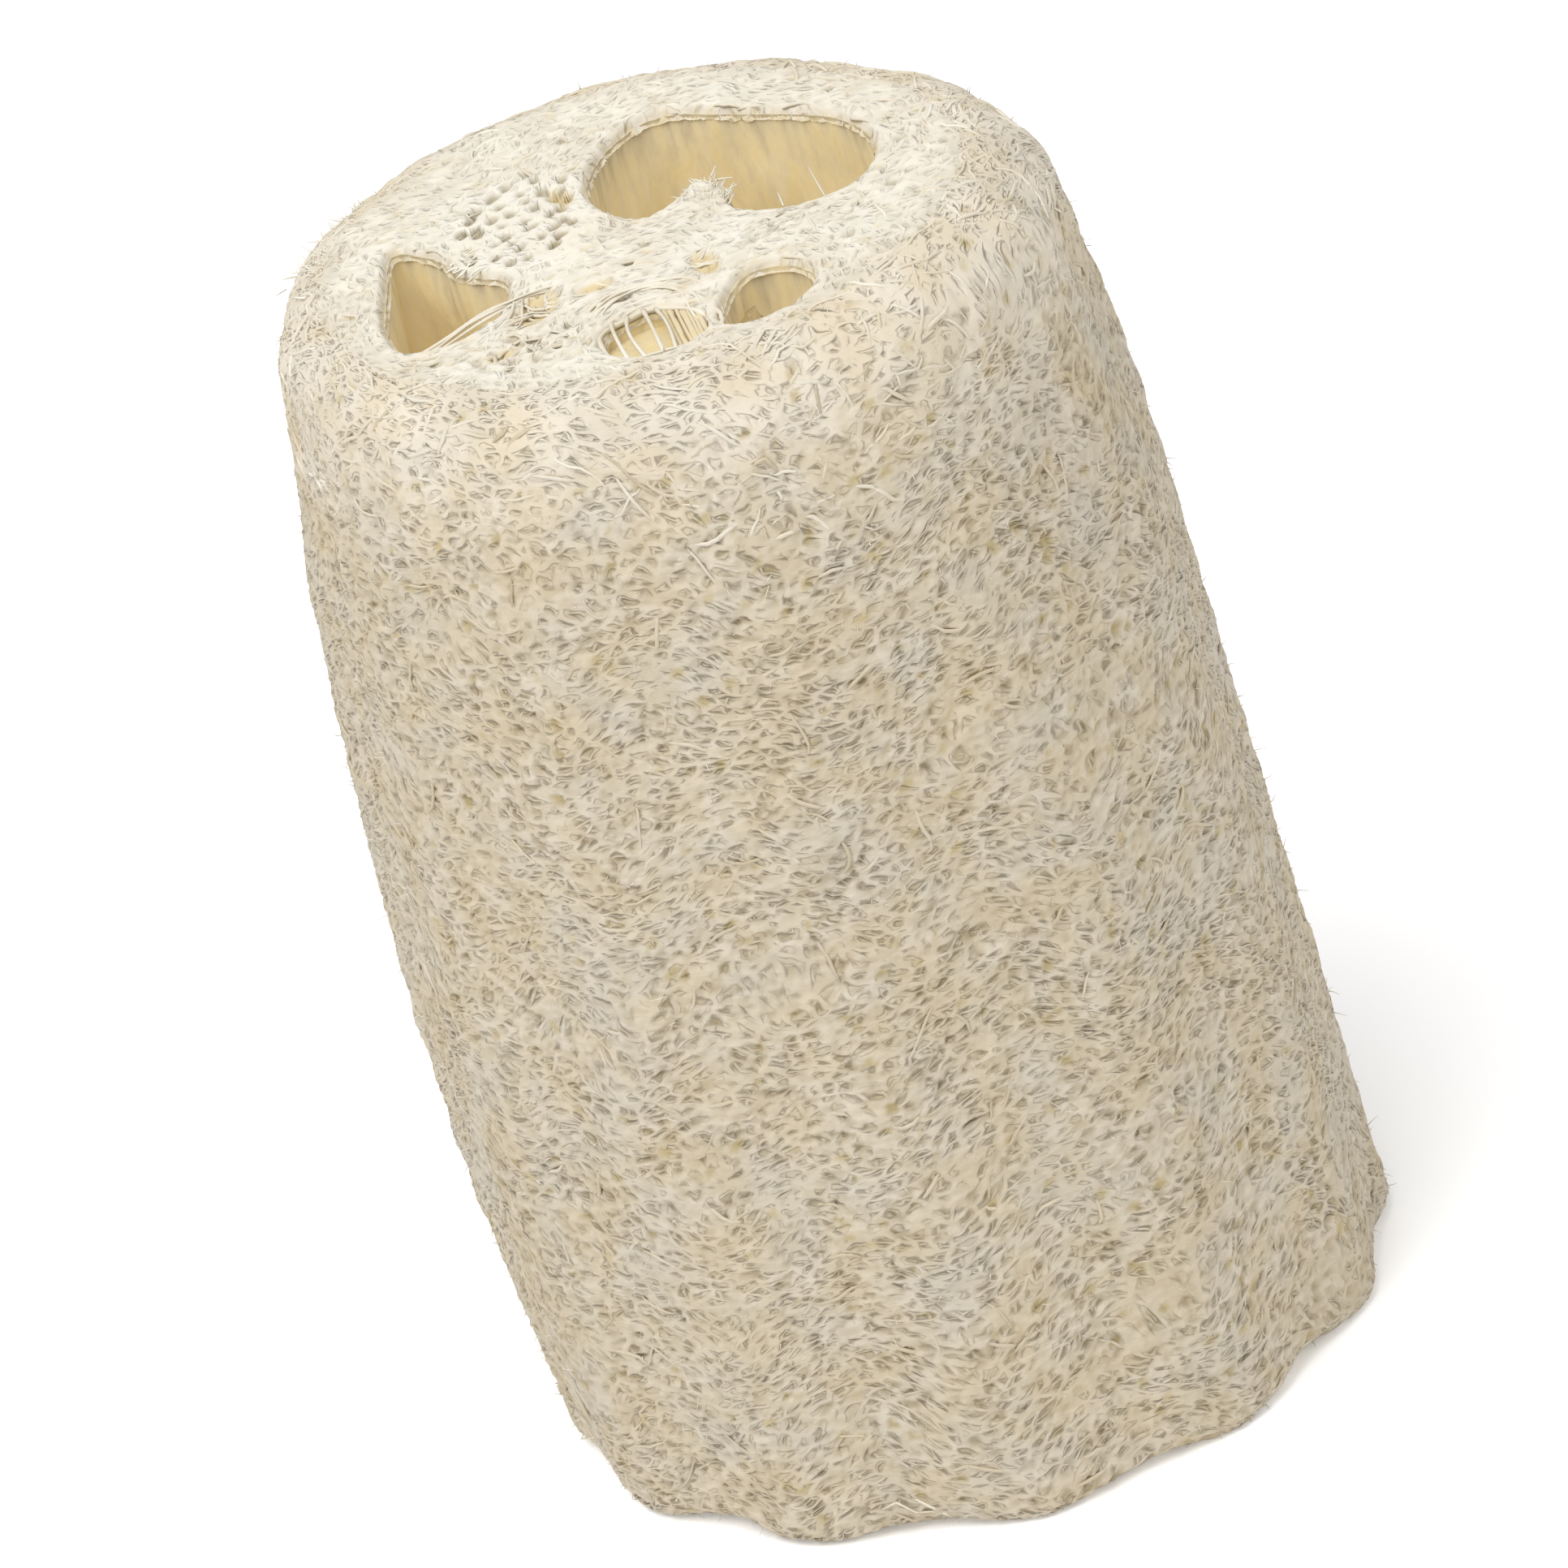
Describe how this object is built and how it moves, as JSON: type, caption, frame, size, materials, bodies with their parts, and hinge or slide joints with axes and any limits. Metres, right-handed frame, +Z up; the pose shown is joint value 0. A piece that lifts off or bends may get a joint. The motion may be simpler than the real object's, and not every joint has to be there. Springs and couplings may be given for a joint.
{
  "type": "natural loofah sponge",
  "caption": "Upright length of a dried gourd's fibre skeleton: a netted cylinder with rounded rims and seed channels running through it.",
  "frame": {"origin": "middle of the base, on the surface that the sponge stands on", "axes": "+Z up along the gourd's length, -Y towards the picture's viewer, +X to that viewer's right"},
  "size_m": [0.1062, 0.1032, 0.1518],
  "materials": {
    "loofah_fibre": "dry matt plant fibre, cream strands over tan pits"
  },
  "bodies": {
    "root": {"loofah_sponge": "loofah_fibre"}
  },
  "joints": []
}
